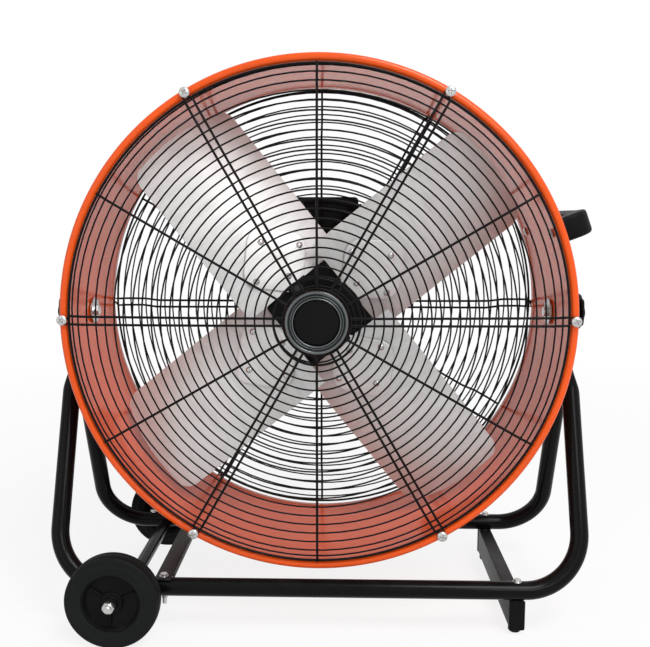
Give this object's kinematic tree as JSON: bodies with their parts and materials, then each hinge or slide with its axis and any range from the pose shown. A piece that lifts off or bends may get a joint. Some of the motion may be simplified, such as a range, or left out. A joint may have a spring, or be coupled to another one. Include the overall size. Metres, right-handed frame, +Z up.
{
  "type": "drum fan",
  "caption": "Tilting drum fan with wire guards, paddle blades and a carrying handle on a bent-tube stand with wheels at one side and feet at the other.",
  "frame": {"origin": "on the floor, under the middle of the drum", "axes": "+Z up, the fan blows towards -Y, +X is the side with the handle and the rubber feet"},
  "size_m": [0.725, 0.388, 0.7397],
  "materials": {
    "orange_paint": "gloss powder coat",
    "black_paint": "gloss powder coat",
    "guard_wire": "satin coated wire",
    "motor_casting": "painted casting, satin",
    "blade_aluminium": "bare sheet, satin",
    "zinc_plate": "bright zinc plate",
    "black_plastic": "moulded, fine grain",
    "badge_grey": "metallic grey moulding",
    "rim_plastic": "moulded",
    "tyre_rubber": "matt moulded rubber",
    "foot_rubber": "matt moulded rubber"
  },
  "bodies": {
    "stand": {"front_loop_tube": "black_paint", "rear_loop_tube": "black_paint", "foot_bar": "black_paint", "cross_bar": "black_paint", "stretcher_tube": "black_paint", "rail_screw_rear": "zinc_plate", "foot_bar_cap_front": "black_plastic", "rubber_foot_front": "foot_rubber", "foot_bar_bolt_front": "zinc_plate", "cross_bar_bolt_front": "zinc_plate", "axle_stud_front": "zinc_plate", "axle_nut_front": "zinc_plate", "foot_bar_cap_rear": "black_plastic", "rubber_foot_rear": "foot_rubber", "foot_bar_bolt_rear": "zinc_plate", "cross_bar_bolt_rear": "zinc_plate", "axle_stud_rear": "zinc_plate", "axle_nut_rear": "zinc_plate"},
    "drum": {"drum_shell": "orange_paint", "front_guard": "guard_wire", "rear_guard": "guard_wire", "guard_badge_ring": "badge_grey", "guard_badge_disc": "black_plastic", "handle": "black_plastic", "handle_screw_front": "zinc_plate", "handle_screw_rear": "zinc_plate", "motor_shell": "motor_casting", "motor_end_bell": "motor_casting", "motor_mount_plate": "black_paint", "control_box": "black_paint", "control_box_cover": "black_paint", "cord_gland": "black_plastic", "pivot_bolt_left": "zinc_plate", "pivot_washer_left": "zinc_plate", "pivot_spacer_left": "black_plastic", "pivot_bolt_right": "zinc_plate", "pivot_washer_right": "zinc_plate", "pivot_spacer_right": "black_plastic", "front_guard_screw_1": "zinc_plate", "rear_guard_screw_1": "zinc_plate", "front_guard_screw_2": "zinc_plate", "front_guard_screw_3": "zinc_plate", "rear_guard_screw_2": "zinc_plate", "front_guard_screw_4": "zinc_plate", "front_guard_screw_5": "zinc_plate", "rear_guard_screw_3": "zinc_plate", "front_guard_screw_6": "zinc_plate"},
    "rotor": {"blade_spider": "zinc_plate", "blade_1": "blade_aluminium", "blade_2": "blade_aluminium", "blade_3": "blade_aluminium", "blade_4": "blade_aluminium", "motor_shaft": "zinc_plate"},
    "wheel_front": {"tyre_front": "tyre_rubber", "wheel_rim_front": "rim_plastic"},
    "wheel_rear": {"tyre_rear": "tyre_rubber", "wheel_rim_rear": "rim_plastic"},
    "tilt_knob_left": {"tilt_knob_left": "black_plastic"},
    "tilt_knob_right": {"tilt_knob_right": "black_plastic"},
    "speed_knob": {"speed_knob": "black_plastic"}
  },
  "joints": [
    {"name": "drum_tilt", "type": "hinge", "parent": "stand", "child": "drum", "pos_m": [0, 0, 0.41], "axis": [1, 0, 0], "range_deg": [-90, 90]},
    {"name": "rotor_spin", "type": "hinge", "parent": "drum", "child": "rotor", "pos_m": [0, 0, 0.41], "axis": [0, 1, 0], "continuous": true},
    {"name": "wheel_front_spin", "type": "hinge", "parent": "stand", "child": "wheel_front", "pos_m": [-0.2568, -0.165, 0.06], "axis": [0, 1, 0], "continuous": true},
    {"name": "wheel_rear_spin", "type": "hinge", "parent": "stand", "child": "wheel_rear", "pos_m": [-0.2568, 0.165, 0.06], "axis": [0, 1, 0], "continuous": true},
    {"name": "tilt_knob_left_turn", "type": "hinge", "parent": "drum", "child": "tilt_knob_left", "pos_m": [-0.36, 0, 0.41], "axis": [-1, 0, 0], "range_deg": [0, 360]},
    {"name": "tilt_knob_right_turn", "type": "hinge", "parent": "drum", "child": "tilt_knob_right", "pos_m": [0.36, 0, 0.41], "axis": [1, 0, 0], "range_deg": [0, 360]},
    {"name": "speed_knob_turn", "type": "hinge", "parent": "drum", "child": "speed_knob", "pos_m": [0, 0.14, 0.522], "axis": [0, 1, 0], "range_deg": [0, 120]}
  ]
}
